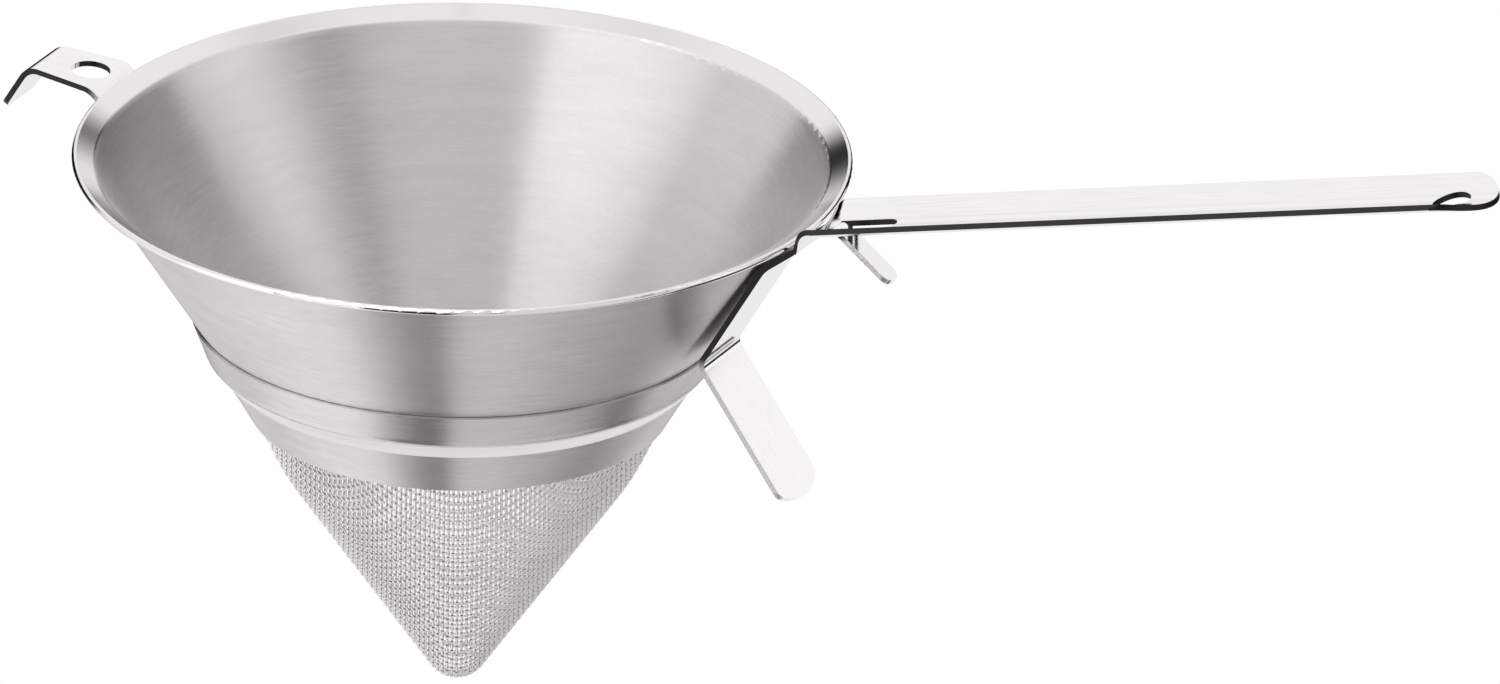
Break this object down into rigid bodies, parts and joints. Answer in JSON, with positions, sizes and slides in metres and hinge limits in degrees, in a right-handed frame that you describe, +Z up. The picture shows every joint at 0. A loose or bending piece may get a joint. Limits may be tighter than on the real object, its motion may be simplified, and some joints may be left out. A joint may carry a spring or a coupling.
{
  "type": "chinois strainer",
  "caption": "Conical strainer: flared steel bowl, clamp ring, fine wire cone, long dished handle with a rest leg, and a hook bracket opposite.",
  "frame": {"origin": "centre of the rim circle, in the rim's top plane", "axes": "+Z up along the strainer's axis, +X towards the handle, the hook bracket on -X"},
  "size_m": [0.4231, 0.2, 0.1963],
  "materials": {
    "bowl_steel": "spun stainless sheet, satin with fine circular brush lines, polished rim",
    "ring_steel": "pressed stainless sheet, satin bands with a bright shoulder",
    "wire_cloth": "woven stainless wire, bright",
    "strip_steel": "polished stainless strip"
  },
  "bodies": {
    "root": {"funnel": "bowl_steel", "clamp_ring": "ring_steel", "mesh_cone": "wire_cloth", "handle": "strip_steel", "hook_bracket": "strip_steel"}
  },
  "joints": []
}
